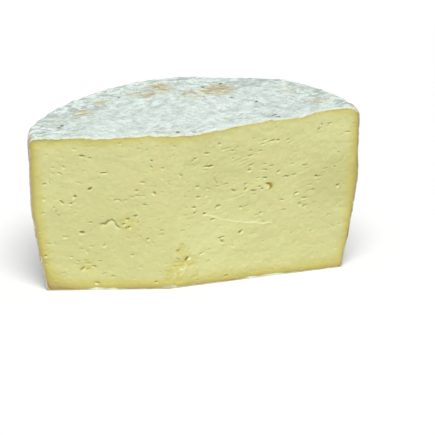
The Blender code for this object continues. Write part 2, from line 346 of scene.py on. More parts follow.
def pit(along, up, opening):
    """One opening: the share of its depth at each place, and the lip under it.

    In the opening's own ellipse the floor is deepest under the upper edge and rises to
    LOWER_FLOOR of that at the lower one; the share dies out over FLOOR_EDGE. The lip is a
    low ridge along the lower edge: a bell across it, times a squarer bell along it."""
    distance, height, length, width, _, slope = opening
    slope = math.radians(slope)
    run = (along - distance) * math.cos(slope) + (up - height) * math.sin(slope)
    rise = (up - height) * math.cos(slope) - (along - distance) * math.sin(slope)
    run, rise = 2 * run / length, 2 * rise / width
    inside = 1 - smooth_step(*FLOOR_EDGE, np.hypot(run, rise))
    lip_and_highlight = np.exp(-(((rise + LIP_BELOW) / LIP_THICK) ** 2) - (run / LIP_LONG) ** 4)
    floor = LOWER_FLOOR + (1 - LOWER_FLOOR) * smooth_step(-1.0, 0.5, rise)
    return inside * floor, lip_and_highlight


def small_openings(seed, count, far, tall, lean):
    """Random small openings over a cut: evenly scattered places, short lengths, small
    depths, and slopes that keep near the lean."""
    draw = np.random.default_rng(seed)
    measures = [draw.uniform(*span, count) for span in ((1, far), (2, tall), *SMALL_SPANS)]
    return np.stack([*measures, draw.normal(lean, SMALL_SCATTER, count)], axis=-1)


def cut_surface(places, along, openings, rough, seed):
    """How far a cut stands out, in millimetres, and its shares of painted shade and highlight.

    Long, low waves of the knife, plus soft dents, less the seams between the curds, both
    times `rough`, less each opening's floor, plus its lip. Each place is shifted a little
    before the openings are measured, which breaks their edges; the floors are uneven by
    small beads, and the lips are torn away in places. Noise from `seed` on makes it all."""
    up = places[..., 2] / MM
    shift = unevenness(places, 1.3, seed), unevenness(places, 1.1, seed + 1)
    ragged_along, ragged_up = along + 0.5 * shift[0], up + 0.4 * shift[1]
    stand = KNIFE_WAVE * unevenness(places * DRAWN_LEVEL, KNIFE_WAVE_SIZE, seed + 2)
    for step, (size, height) in enumerate(DENTS):
        stand = stand + rough * height * unevenness(places, size, seed + 3 + step)
    run = along * math.cos(SEAM_LEAN) + up * math.sin(SEAM_LEAN)
    rise = up * math.cos(SEAM_LEAN) - along * math.sin(SEAM_LEAN)
    seams = np.stack([0.3 * run + 0.4 * shift[0], rise + 0.4 * shift[1], 0 * run], axis=-1) * MM
    seam = np.clip(1 - np.abs(unevenness(seams, SEAM_SIZE, seed + 8)) / 0.2, 0, 1)
    seam_patch = smooth_step(0, 0.5, unevenness(places, SEAM_PATCH, seed + 9))
    stand = stand - SEAM_DEPTH * rough * seam * seam_patch
    painted_opening_shade, lip_and_highlight = np.zeros(along.shape), np.zeros(along.shape)
    beads = 1 + 0.45 * unevenness(places, BEAD_SIZE, seed + 11)
    torn_lip = 0.3 + 0.9 * smooth_step(-0.5, 0.3, unevenness(places, LIP_TEAR_SIZE, seed + 10))
    for opening in openings:
        floor, under = pit(ragged_along, ragged_up, opening)
        floor = floor * beads
        under = under * torn_lip
        depth = opening[4]
        stand = stand - FLOOR_SINK * floor * depth + LIP_RISE * under * depth
        # Painted shade on each opening's floor, by its depth, and painted highlight on its lip.
        painted_opening_shade = np.maximum(painted_opening_shade, floor * depth / DEEPEST)
        lip_and_highlight = np.maximum(lip_and_highlight, under * min(depth / LIP_FULL, 1))
    return stand, painted_opening_shade, lip_and_highlight


def torn(along, up, line, fall):
    """The share of a torn scoop under a line: 1 just below the line, dying out over the
    distance `fall` further down and past the line's two ends."""
    ends, heights = np.array(line)[::-1].T
    below = np.interp(along, ends, heights) - up
    within = smooth_step(ends[0] - 1.5, ends[0] + 1.5, along)
    within = within * (1 - smooth_step(ends[-1] - 1.0, ends[-1] + 1.5, along))
    return smooth_step(-0.4, 0.3, below) * np.exp(-np.maximum(below, 0) / fall) * within


def rind_relief(places):
    """How far the rind stands out, in millimetres: broad dents, plus wrinkles at each of
    WRINKLES' sizes. A wrinkle is the square of 1 less noise without its sign, so it peaks
    along the noise's zero lines, which are bent by shifting each place beforehand. The
    rind is flat on the base."""
    bend = np.stack([unevenness(places, BEND_SIZE, seed) for seed in (61, 62, 63)], axis=-1)
    bent = places + WRINKLE_BEND * bend
    relief = RIND_DENT * unevenness(places, RIND_DENT_SIZE, seed=64)
    for size, seed, height in WRINKLES:
        crest = 1 - np.abs(unevenness(bent, size, seed))
        relief = relief + height * (crest**2 - 0.6)
    return relief * smooth_step(0, FLAT_FOOT, places[..., 2])


def outward_of(cut):
    """The direction square to a cut, on the side that was taken away."""
    along = np.array([math.cos(cut), math.sin(cut), 0.0])
    square = np.cross(along, FOLD_TOP - FOLD_FOOT)
    return -square / np.linalg.norm(square) * np.sign(square[1])


def placed(name, data):
    """A new object in the scene that holds this data."""
    made = bpy.data.objects.new(name, data)
    bpy.context.scene.collection.objects.link(made)
    return made


def closed_tube(name, rings, start, end, marks):
    """A closed skin round a stack of rings, as a mesh object at the origin.

    rings[row, column] are places. Each face joins a column to the next, and the last to
    the first, between two rows; triangles round the places start and end close the ends.
    The map lays the rows and columns out flat, and each mark becomes an attribute."""
    rows, columns = rings.shape[:2]
    corner = np.arange(rows * columns).reshape(rows, columns)
    onward = np.roll(corner, -1, axis=1)
    walls = np.stack([corner[:-1], onward[:-1], onward[1:], corner[1:]], axis=-1)
    foot = np.stack([onward[0], corner[0], np.full(columns, rows * columns)], axis=-1)
    lid = np.stack([corner[-1], onward[-1], np.full(columns, rows * columns + 1)], axis=-1)
    places = np.concatenate([rings.reshape(-1, 3), [start, end]])
    mesh = bpy.data.meshes.new(name)
    faces = walls.reshape(-1, 4).tolist() + foot.tolist() + lid.tolist()
    mesh.from_pydata(places.tolist(), [], faces)

    def laid_flat(column, right, row, higher):
        """The map of some faces: each corner's column and row as shares of their numbers."""
        across, level = (column + np.array(right)) / columns, (row + np.array(higher)) / (rows + 1)
        return np.stack(np.broadcast_arrays(across, level), axis=-1).ravel()

    row, column = np.indices((rows - 1, columns))[..., None]
    wall_map = laid_flat(column, [0, 1, 1, 0], row, [1, 1, 2, 2])
    foot_map = laid_flat(column[0], [1, 0, 0.5], 0, [1, 1, 0])
    lid_map = laid_flat(column[0], [0, 1, 0.5], rows, [0, 0, 1])
    laid = np.concatenate([wall_map, foot_map, lid_map]).astype(np.float32)
    mesh.uv_layers.new(name="OFBake").uv.foreach_set("vector", laid)

    for mark, values in marks.items():
        ends = [values[0].mean(), values[-1].mean()]
        numbers = np.concatenate([values.ravel(), ends]).astype(np.float32)
        mesh.attributes.new(mark, "FLOAT", "POINT").data.foreach_set("value", numbers)
    mesh.shade_smooth()
    return placed(name, mesh)


def path_through(stations, steps):
    """Rows of places on the path, in even steps from each station to the next."""
    stretches = zip(stations, stations[1:], steps)
    rows = [np.linspace(low, high, count + 1)[1:] for low, high, count in stretches]
    return np.concatenate([stations[:1], *rows])[:, None]


# The ring's columns: from the fold out along the right cut, round, and back to the fold.
back_turns = np.linspace(RIGHT_CUT, LEFT_CUT, BACK_STEPS + 1)
paste_turn = np.concatenate(
    [np.full(RIGHT_STEPS, RIGHT_CUT), back_turns, np.full(LEFT_STEPS - 1, LEFT_CUT)]
)
paste_out = np.concatenate(
    [
        np.arange(RIGHT_STEPS) / RIGHT_STEPS,
        np.ones(BACK_STEPS + 1),
        1 - np.arange(1, LEFT_STEPS) / LEFT_STEPS,
    ]
)
paste_path = path_through((BASE_RIM, SIDE_FOOT, SIDE_TOP, TOP_RIM), PASTE_ROWS)
on_right = (paste_turn == RIGHT_CUT).astype(float)
on_left = (paste_turn == LEFT_CUT).astype(float)
on_a_cut = np.maximum(on_right, on_left)
on_right[0] = on_left[0] = 0.5
paste_inset = WELL_UNDER + (UNDER_RIND - WELL_UNDER) * on_a_cut
paste_rings = wheel_places(paste_turn, paste_out, paste_path, paste_inset)

# The cuts' border follows the rind's wrinkles, sideways at the side and up at the top.
border = wheel_places(paste_turn, 1.0, paste_path, 0.0)
sideways = MM * rind_relief(border) * on_a_cut * paste_out**FOLLOW
upward = MM * rind_relief(paste_rings[-1]) * on_a_cut
upward = upward * (paste_rings[..., 2] / paste_rings[-1, :, 2]) ** FOLLOW
towards = np.stack([np.cos(paste_turn), np.sin(paste_turn)], axis=-1)
paste_rings[..., :2] += sideways[..., None] * towards
paste_rings[..., 2] += upward

# The two cuts' own measures: millimetres out from the fold, and in from the rind.
fold_line = FOLD_FOOT + (FOLD_TOP - FOLD_FOOT) * paste_rings[..., 2:] / WHEEL_HEIGHT
from_fold = np.linalg.norm((paste_rings - fold_line)[..., :2], axis=-1) / MM
from_side = np.linalg.norm((border - fold_line)[..., :2], axis=-1) / MM - from_fold
up = paste_rings[..., 2] / MM
under_top = top_height(paste_rings[..., 0], paste_rings[..., 1]) / MM - up
edge_near = np.minimum(np.minimum(up, under_top), from_side)
clear_of_rind = smooth_step(0, CLEAR_OF_RIND, edge_near)

# How deep in from the rind, by the width of the ripe band there, rounded in the corners. The
# band widens out along the left cut's top, near the fold, at the top's right end, at the
# foot's left end and half way up the right side, and most in the left cut's lower corner.
top_band = TOP_BAND + 0.55 * on_left * np.minimum(from_fold / 60, 1)
top_band = top_band + 0.4 * (1 - smooth_step(8, 26, from_fold))
top_band = top_band + 0.35 * on_right * smooth_step(88, 100, from_fold)
foot_band = FOOT_BAND + 0.9 * on_left * (1 - smooth_step(4, 22, from_side))
side_band = SIDE_BAND - 0.2 * on_right + 0.6 * on_right * np.exp(-(((up - 60) / 14) ** 2))
band = [up / foot_band, under_top / top_band, from_side / side_band]
under_rind = sum(np.maximum(depth, BAND_LEAST) ** -BAND_ROUNDING for depth in band)
under_rind = under_rind ** (-1 / BAND_ROUNDING)
lower_corner = on_left * np.exp(-((from_side / CORNER_WIDE) ** 2) - (up / CORNER_TALL) ** 2)
under_rind = under_rind / (1 + lower_corner)

# The right cut: its openings, a raised scratch, a notch and a slit.
openings = (*RIGHT_OPENINGS, *small_openings(11, *RIGHT_SMALL))
right_surface = cut_surface(paste_rings, from_fold, openings, RIGHT_ROUGH, seed=21)
right_stand, right_painted_shade, right_painted_highlight = right_surface
wander = 0.5 * unevenness(paste_rings, 2.5, seed=31)
scratch = trail(from_fold, up + wander, SCRATCH, SCRATCH_WIDTH)
notch = trail(from_fold, up, NOTCH, NOTCH_WIDTH)
slit = trail(from_fold, up, SLIT, SLIT_WIDTH)
right_stand = right_stand + SCRATCH_RISE * scratch - NOTCH_DEPTH * notch - SLIT_DEPTH * slit
# Painted highlight along the raised scratch, and painted shade in the notch and the slit.
right_painted_highlight = np.maximum(right_painted_highlight, 0.9 * scratch)
right_painted_shade = np.maximum(right_painted_shade, 0.4 * np.maximum(notch, slit))

# The large eye: a crescent along the upper right of an ellipse, round a low ball of curd,
# with a raised lip outside it. Measured in half lengths and half widths of the ellipse.
eye_run = 2 * (from_fold + 0.35 * wander - EYE_ALONG) / EYE_LENGTH
eye_rise = 2 * (up + 0.5 * wander - EYE_UP) / EYE_WIDTH
eye_off = np.hypot(eye_run, eye_rise)
eye_side = EYE_TOWARDS[0] * eye_run + EYE_TOWARDS[1] * eye_rise
eye_side = smooth_step(-0.1, 0.75, eye_side / np.maximum(eye_off, 0.1))
eye_deep = np.exp(-(((eye_off - 0.95) / 0.24) ** 2)) * eye_side
eye_halo = np.exp(-(((eye_off - 1.25) / 0.3) ** 2)) * eye_side
eye_ball = 1 - smooth_step(0.3, 0.85, eye_off)
right_stand = right_stand - EYE_DEPTH * eye_deep + EYE_BALL * eye_ball + EYE_LIP * eye_halo
# Painted highlight on the ball of curd in the eye's middle.
right_painted_highlight = np.maximum(right_painted_highlight, 0.6 * eye_ball)

# A knife ledge near the top at the right, and a patch of torn ripples.
ledge_height = LEDGE_UP + LEDGE_SLOPE * (from_fold - LEDGE_ALONG) + 0.3 * wander
ledge = smooth_step(*LEDGE_BEGINS, from_fold) * np.tanh((up - ledge_height) / 0.35)
ripple_off = np.hypot((from_fold - RIPPLES_ALONG) / RIPPLES_REACH, (up - RIPPLES_UP) / RIPPLES_TALL)
ripples = (1 - smooth_step(0.5, 1.1, ripple_off)) * np.sin(2.4 * up - from_fold + 3 * wander)
right_stand = right_stand + LEDGE_RISE * ledge + RIPPLE_RISE * ripples
# Painted light and shade: the broad patches, lighter above the ledge and darker below it, and
# lighter on the ripples' crests than in their troughs.
right_painted_light_and_shade = bells(from_fold, up, RIGHT_PAINTED_LIGHT_AND_SHADE) + 0.12 * ledge + 0.1 * ripples

# The left cut: its openings, and its long tear, which is a scoop under an undercut line.
openings = (*LEFT_OPENINGS, *small_openings(12, *LEFT_SMALL))
left_surface = cut_surface(paste_rings, from_fold, openings, LEFT_ROUGH, seed=41)
left_stand, left_painted_shade, left_painted_highlight = left_surface
frayed = 0.7 * wander + 0.45 * unevenness(paste_rings, 1.2, seed=55)
scoop = torn(from_fold + frayed, up + frayed, TEAR, TEAR_FALL)
undercut_width = 0.45 + 0.6 * smooth_step(39.5, 42.5, from_fold)
undercut = trail(from_fold + frayed, up + frayed, TEAR, undercut_width)
undercut = undercut * (0.75 + 0.4 * unevenness(paste_rings, 2, seed=54))
left_stand = left_stand - TEAR_DEPTH * scoop - UNDERCUT_DEPTH * undercut
# Painted shade along the undercut line, and painted highlight on the scoop below it.
left_painted_shade = np.maximum(left_painted_shade, 1.2 * undercut)
left_painted_highlight = np.maximum(left_painted_highlight, scoop * (1 - undercut))
left_tone = bells(from_fold, up, LEFT_TONES)

# The blunted fold, and its torn, crumbly foot.
blunt = FOLD_SAG * (1 - np.minimum(from_fold / FOLD_REACH, 1)) ** 2
across = from_fold * (on_right - on_left)
breaking = 0.45 * unevenness(paste_rings, 5, seed=51)
breaking = breaking + 0.3 * unevenness(paste_rings, 2, seed=56)
crumbled = np.zeros(up.shape)
for middle, height, reach, rise, share in CRUMBLED:
    off = np.hypot((across - middle) / reach, (up - height) / rise) + breaking
    crumbled = np.maximum(crumbled, share * (1 - smooth_step(0.4, 1.05, off)))
crumbs = unevenness(paste_rings, 2.4, seed=52)
crumbs = crumbs + 0.6 * unevenness(paste_rings, 1.2, seed=53)
crumb_stand = crumbled * (0.5 * crumbs - 0.45) - blunt

# A brown stain under the rind, along the foot and up the sides, most up the right one.
stain_marks = 1.6 - smooth_step(1, 9, up) - 0.6 * smooth_step(0.5, 4, from_side)
stain_marks = stain_marks + 0.8 * on_right * (1 - smooth_step(0.8, 2.6, from_side))

cut_marks = {
    "painted_opening_shade": on_right * right_painted_shade + on_left * left_painted_shade,
    "lip_and_highlight": on_right * right_painted_highlight + on_left * left_painted_highlight,
    "painted_shade_and_tone": on_right * right_painted_light_and_shade + on_left * left_tone,
    # Painted shade in the eye's crescent, and a painted warm tint of scattered light round it.
    "painted_eye_shade_and_halo": on_right * np.maximum(eye_deep, 0.25 * eye_halo),
    # Heights of the crumbs: their raised tops get painted highlight.
    "crumb": crumbled * (0.5 + 0.5 * np.clip(crumbs, -1, 1)),
    "crumbled": crumbled,
    "under_rind": under_rind,
    "stain": stain_marks,
}
right_move = on_right * (right_stand * clear_of_rind + crumb_stand - RECESS / MM)
left_move = on_left * (left_stand * clear_of_rind + crumb_stand - RECESS / MM)
paste_rings = paste_rings + MM * (
    right_move[..., None] * outward_of(RIGHT_CUT) + left_move[..., None] * outward_of(LEFT_CUT)
)

# The lids under the rind: the first and last ring drawn in to a middle.
draw_in = np.linspace(0, 1, LID_ROWS + 2)[1:-1, None, None]
lower = LID_MIDDLE + (paste_rings[0, :, :2] - LID_MIDDLE) * draw_in
upper = LID_MIDDLE + (paste_rings[-1, :, :2] - LID_MIDDLE) * draw_in[::-1]
lower_lid = np.dstack([lower, np.full(lower.shape[:2], WELL_UNDER)])
upper_lid = np.dstack([upper, top_height(upper[..., 0], upper[..., 1]) - WELL_UNDER])
lid_marks = {
    mark: np.pad(values, ((LID_ROWS, LID_ROWS), (0, 0)), mode="edge")
    for mark, values in cut_marks.items()
}
paste = closed_tube(
    "paste",
    np.concatenate([lower_lid, paste_rings, upper_lid]),
    [*LID_MIDDLE, WELL_UNDER],
    [*LID_MIDDLE, top_height(*LID_MIDDLE) - WELL_UNDER],
    lid_marks,
)


class Tone:
    """A number or a colour that varies over a surface: one socket of a material's nodes.

    Arithmetic on it adds Math nodes, and node() adds any other kind of node."""

    def __init__(self, tree, socket=None):
        self.tree = tree
        self.socket = socket

    def node(self, kind, settings=None, inputs=None, output=0):
        """A new node of this kind: its settings are set first, then its sockets are given
        their values or links. Returns the output as a Tone."""
        made = self.tree.nodes.new(kind)
        for setting, value in (settings or {}).items():
            setattr(made, setting, value)
        for place, value in (inputs or {}).items():
            if isinstance(value, Tone):
                self.tree.links.new(value.socket, made.inputs[place])
            else:
                made.inputs[place].default_value = value
        return Tone(self.tree, made.outputs[output])

    def maths(self, operation, first, second):
        """One Math node on two values."""
        return self.node("ShaderNodeMath", {"operation": operation}, {0: first, 1: second})

    def __add__(self, other):
        return self.maths("ADD", self, other)

    def __radd__(self, other):
        return self.maths("ADD", other, self)

    def __sub__(self, other):
        return self.maths("SUBTRACT", self, other)

    def __rsub__(self, other):
        return self.maths("SUBTRACT", other, self)

    def __mul__(self, other):
        return self.maths("MULTIPLY", self, other)

    def __rmul__(self, other):
        return self.maths("MULTIPLY", other, self)

    def between(self, low, high):
        """0 up to low, 1 from high on, and an even S between."""
        return self.node(
            "ShaderNodeMapRange",
            {"interpolation_type": "SMOOTHSTEP"},
            {"Value": self, "From Min": low, "From Max": high},
        )

    def feeds(self, shader, socket):
        """Links this value or colour to a socket of the shader."""
        self.tree.links.new(self.socket, shader.inputs[socket])


def new_finish(name, all_over):
    """A material with one Principled surface, whose sockets are given what is the same all
    over it: the material, its shader and a first Tone."""
    material = bpy.data.materials.new(name)
    material.use_nodes = True
    shader = material.node_tree.nodes["Principled BSDF"]
    for socket, value in all_over.items():
        shader.inputs[socket].default_value = value
    return material, shader, Tone(material.node_tree)


def layered(colour, *layers):
    """A colour with others laid over it in turn, each by its share: one Mix node for each,
    whose colour sockets are 6 and 7 and whose colour output is 2."""
    for over, share in layers:
        sockets = {0: share, 6: colour, 7: over}
        colour = share.node("ShaderNodeMix", {"data_type": "RGBA"}, sockets, 2)
    return colour


def mark_of(start, name):
    """One of the piece's own attributes."""
    return start.node("ShaderNodeAttribute", {"attribute_name": name}, output="Fac")


def grain(where, size, detail=3.0, rough=0.55):
    """Noise between 0 and 1 with spots about `size` millimetres apart: `detail` is how many
    finer noises are added to it, and `rough` is how strong each is beside the last."""
    return where.node(
        "ShaderNodeTexNoise",
        None,
        {"Vector": where, "Scale": 1 / (size * MM), "Detail": detail, "Roughness": rough},
    )


# The paste's finish: pale yellow and waxy, with a soft mottle, deeper yellow to ochre and
# brown under the rind. Painted shade makes it brown in the deep openings and the eye's
# crescent, painted highlight paler on lips, the tear's scoop and raised crumbs, and the right
# cut's broad tones are painted light and shade.
PASTE = (0.595, 0.592, 0.262, 1.0)
PASTE_PALE = (0.66, 0.665, 0.31, 1.0)
PASTE_DULL = (0.53, 0.52, 0.215, 1.0)
PASTE_WARM = (0.625, 0.575, 0.265, 1.0)
GLOW = (0.54, 0.49, 0.125, 1.0)
OCHRE = (0.41, 0.345, 0.098, 1.0)
STAIN = (0.30, 0.215, 0.08, 1.0)
# Painted shade in the openings and the eye's crescent, and painted highlight on lips and raised
# crumbs.
SHADE_IN_OPENING = (0.31, 0.28, 0.06, 1.0)
SHADE_IN_EYE = (0.40, 0.30, 0.02, 1.0)
PAINTED_HIGHLIGHT = (0.72, 0.74, 0.40, 1.0)
CRUMB_LOW = (0.56, 0.50, 0.12, 1.0)
PASTE_ALL_OVER = {
    "Roughness": 0.55,
    "Subsurface Weight": 0.2,
    "Subsurface Radius": (1.0, 0.75, 0.3),
    "Subsurface Scale": 1.5 * MM,
}
CURD_DEPTH = 0.14 * MM
KNIFE_DRAG = (0.12, 0.12, 1.0)  # draws the knife's fine lines out level

material, surface, start = new_finish("paste", PASTE_ALL_OVER)
where = start.node("ShaderNodeTexCoord", output="Object")
mottle = grain(where, 16, 4.0).between(0.35, 0.65)
fleck = grain(where, 2.2, 3.0, 0.6).between(0.32, 0.7)
blotch = grain(where, 7)
curd = grain(where, 0.9, 4.0, 0.6)
painted_shade_and_tone = mark_of(start, "painted_shade_and_tone")
depth = mark_of(start, "under_rind") * (0.65 + blotch * 0.7)
stain = mark_of(start, "stain") * (1 - depth.between(0.3, 1.5)) * (blotch * 2.0 - 0.3)
crumb = mark_of(start, "crumb")
crumb_low = mark_of(start, "crumbled") * (1 - crumb.between(0.35, 0.8))
hollow_shade = mark_of(start, "painted_opening_shade") * (0.5 + curd)
colour = layered(
    PASTE,
    (PASTE_PALE, mottle * 0.35),
    (PASTE_DULL, fleck * 0.35),
    (PASTE_WARM, blotch.between(0.45, 0.6) * 0.35),
    # Lighter and darker by the tone mark; on the right cut this is painted light and shade.
    (PASTE_PALE, painted_shade_and_tone.between(0.0, 1.0)),
    (PASTE_DULL, (painted_shade_and_tone * -1.0).between(0.0, 0.7) * 0.9),
    (GLOW, 1 - depth.between(1.3, 6.7)),
    (OCHRE, (1 - depth.between(0.3, 3.0)) * 0.85),
    (STAIN, stain.between(0.0, 1.2)),
    (CRUMB_LOW, crumb_low * 0.7),
    # Painted highlight on raised crumbs, and on the lips, the scratch, the eye's ball and the
    # tear's scoop.
    (PAINTED_HIGHLIGHT, crumb.between(0.7, 1.0) * 0.6),
    (PAINTED_HIGHLIGHT, mark_of(start, "lip_and_highlight") * (0.6 + curd)),
    # Painted shade in the openings, the notch, the slit and the undercut.
    (SHADE_IN_OPENING, hollow_shade.between(0.08, 0.9) * 0.65),
    # Painted shade in the eye's crescent, with a painted warm tint round it.
    (SHADE_IN_EYE, mark_of(start, "painted_eye_shade_and_halo") * 1.15),
)
colour.feeds(surface, "Base Color")
drawn_out = start.node("ShaderNodeMapping", None, {"Vector": where, "Scale": KNIFE_DRAG})
drag = grain(drawn_out, 1.5, 2.0)
bump = start.node(
    "ShaderNodeBump",
    None,
    {"Height": curd + drag * 0.5, "Strength": 0.75, "Distance": CURD_DEPTH},
)
bump.feeds(surface, "Normal")
paste.data.materials.append(material)
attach(paste, "root")
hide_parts("cheese")

# The rind: a dry, felted crust over the base, the side and the top, grown on the pressed
# cheese as it ripened, thickest on top. It is a shell that follows the half section from the
# fold's foot to the fold's top, and the knife has left its cut edge a little proud.

TOP_RIND = 1.45 * MM
SIDE_RIND = 0.65 * MM
RIND_GIVE = 0.35 * MM  # how much its thickness varies
WELL_INSIDE = 2.0 * MM  # how far its hidden inner skin keeps from the outside
OUTER_COLUMNS = 328
INNER_COLUMNS = 24
RIM_COLUMNS = 3
RIND_ROWS = (19, 6, 108, 15, 121)  # base, base's edge, side, shoulder and top
NEAR_FOLD = 0.004  # how near to the fold the skin's first and last rows lie on the path
RIM_PROUD = 0.06 * MM  # how far its cut edge stands out of the cut
RIM_FRAY = 1.4  # how far the top's skin is frayed and pale next to a cut, in millimetres
SMEAR = 8.0  # how far the knife smeared the side's skin, in millimetres
WORN = (58, 95)  # how far from the axis the top's wear begins and is full, in millimetres
PALE_ENDS = (50, 90)  # how far to each side the pale ends begin and are palest

# Patches on the top where the tan crust shows: place, reach and strength, in millimetres
# from the axis.
TAN_PATCHES = (
    (-72, 38, 5, 1.2), (-77, 32, 4, 1), (-63, 54, 3.5, 2), (-88, 16, 5, 0.6), (-85, 5, 3, 0.5),
    (-38, 70, 8, 0.6), (-27, 83, 4, 1.8), (-21, 77, 5, 1.4), (-32, 66, 6, 0.7), (-8, 64, 5, 1.1),
    (10, 70, 7, 1.2), (19, 69, 5, 1.4), (14, 79, 6, 1.1), (4, 62, 6, 0.6), (-20, -9, 5, 0.8),
    (59, 61, 8, 0.7), (77, 36, 6, 1),
)
# Dark specks where the rind is holed: place and radius, in millimetres.
SPECKS = (
    (-1.5, -9.5, 1.5), (-11.5, -8.5, 1.4), (49, 14.5, 1.7), (51.5, 10, 1.5), (38, 43, 1.2),
    (22, 54, 1.2), (3, 79, 1.3), (15, 85.5, 1.3), (-52, 63, 1.1), (-86.5, 3.5, 1.5),
    (-84.5, 6.5, 1.3), (-91.5, 19, 1.0),
)
SPECK_EDGE = (0.5, 1.3)  # where a speck's slope begins and ends, in its radii
SIDE_SPECKS = 60  # how many the side has, with the least and most of what each one has:
SIDE_SPECK_LEAST = (0.2, 5, 0.4)  # azimuth in radians, height and radius
SIDE_SPECK_MOST = (3.3, 92, 1.1)
TOP_SPECK_DEPTH = 0.4
SIDE_SPECK_DEPTH = 0.9
TAN_DEPTH = 0.15  # how far the tan crust lies below the bloom
# A fine crack across the top, in millimetres from the axis.
CRACK = ((21, 53.5), (28, 49), (33, 47), (40, 40), (43, 33))
CRACK_WIDTH = 0.5
CRACK_DEPTH = 0.25
# Lumps of bloom on the base's rim: place on the path, and reach; and their thickness.
BASE_LUMPS = ((0.62, 0.06), (0.49, 0.04))
LUMP = 1.0 * MM
SHARP_ANGLE = math.radians(60)  # past which an edge shows as sharp

outer_turn = np.linspace(RIGHT_CUT, LEFT_CUT, OUTER_COLUMNS)
inner_turn = np.linspace(LEFT_CUT, RIGHT_CUT, INNER_COLUMNS)
first, last = FOLD_ON_BASE + NEAR_FOLD, FOLD_ON_TOP - NEAR_FOLD
rind_path = path_through((first, BASE_RIM, SIDE_FOOT, SIDE_TOP, TOP_RIM, last), RIND_ROWS)
rind_out = np.clip(rind_path - FOLD_ON_BASE, 0, 1) * np.clip(FOLD_ON_TOP - rind_path, 0, 1)
on_top = smooth_step(SIDE_TOP + 0.1, SIDE_TOP + 0.8, rind_path)
lumps = sum(np.exp(-(((rind_path - place) / reach) ** 2)) for place, reach in BASE_LUMPS)
smooth_skin = wheel_places(outer_turn, rind_out, rind_path, 0.0)
skin_x, skin_y, skin_z = np.moveaxis(smooth_skin, -1, 0) / MM
azimuth = np.arctan2(skin_y, skin_x) % (2 * math.pi)

# Holes: those of the top in their places, those of the side scattered.
specks = np.zeros(azimuth.shape)
for at_x, at_y, radius in SPECKS:
    off = np.hypot(skin_x - at_x, skin_y - at_y)
    specks = np.maximum(specks, (1 - smooth_step(*SPECK_EDGE, off / radius)) * on_top)
draw = np.random.default_rng(75)
for _ in range(SIDE_SPECKS):
    turn, height, radius = draw.uniform(SIDE_SPECK_LEAST, SIDE_SPECK_MOST)
    off = np.hypot((azimuth - turn) * WHEEL_RADIUS / MM, skin_z - height)
    side_speck = (1 - smooth_step(*SPECK_EDGE, off / radius)) * (1 - on_top)
    specks = np.maximum(specks, side_speck)
crack = trail(skin_x, skin_y, CRACK, CRACK_WIDTH) * on_top

# The tan crust: the patches on top, and scattered ones round the side.
elsewhere = unevenness(smooth_skin, 24, seed=72)
elsewhere = elsewhere + 0.5 * unevenness(smooth_skin, 10, seed=73)
tan = bells(skin_x, skin_y, TAN_PATCHES) * on_top
tan = tan + (1 - on_top) * smooth_step(0.35, 1.1, elsewhere)

# Next to the two cuts, the side's skin is smeared with paste and crust, and the top's frayed.
to_cut = [np.linalg.norm(smooth_skin - smooth_skin[:, [end]], axis=-1) / MM for end in (0, -1)]
smear = np.exp(-((np.minimum(*to_cut) / SMEAR) ** 2))
near_cut = np.exp(-((np.minimum(*to_cut) / RIM_FRAY) ** 2))

# The top is worn towards its rim, and palest at the two ends of the piece.
worn = smooth_step(*WORN, np.hypot(skin_x, skin_y)) * on_top
pale = worn * (0.2 + 0.8 * smooth_step(*PALE_ENDS, np.abs(skin_x)))

# The outer skin is the smooth one moved out by its wrinkles and in by its holes, its crack
# and its tan patches.
relief = rind_relief(smooth_skin)
speck_depth = SIDE_SPECK_DEPTH + (TOP_SPECK_DEPTH - SIDE_SPECK_DEPTH) * on_top
move_out = relief - speck_depth * specks - CRACK_DEPTH * crack - TAN_DEPTH * np.minimum(tan, 1)
outer = wheel_places(outer_turn, rind_out, rind_path, -MM * move_out)
outer[..., 2] = np.maximum(outer[..., 2], 0.0)

# The inner skin keeps the rind's thickness at the cuts and stays well inside elsewhere.
cut_border = wheel_places(inner_turn, rind_out, rind_path, 0.0)
thickness = SIDE_RIND + (TOP_RIND - SIDE_RIND) * on_top
give = unevenness(cut_border, 5, seed=71) + 0.7 * unevenness(cut_border, 2.2, seed=76)
thickness = thickness + RIND_GIVE * give + LUMP * lumps
inner_inset = np.full(cut_border.shape[:2], WELL_INSIDE)
for column in (0, -1):
    follow = MM * rind_relief(cut_border[:, column])
    inner_inset[:, column] = thickness[:, column] - follow
inner = wheel_places(inner_turn, rind_out, rind_path, inner_inset)


def rim_between(here, there, cut):
    """Columns across the cut edge, from one skin's border to the other's, a little proud
    of the cut and unevenly so."""
    share = np.arange(1, RIM_COLUMNS + 1)[:, None] / (RIM_COLUMNS + 1)
    places = here[:, None] + (there - here)[:, None] * share
    proud = RIM_PROUD * (1 + 0.9 * unevenness(places, 1.6, seed=74))
    return places + proud[..., None] * outward_of(cut)


left_rim = rim_between(outer[:, -1], inner[:, 0], LEFT_CUT)
right_rim = rim_between(inner[:, -1], outer[:, 0], RIGHT_CUT)
rind_rings = np.concatenate([outer, left_rim, inner, right_rim], axis=1)
rest = rind_rings.shape[1] - OUTER_COLUMNS


def over_all(values, beyond=0.0):
    """A mark of the outer skin, with one value for the columns beyond it."""
    return np.pad(values, ((0, 0), (0, rest)), constant_values=beyond)


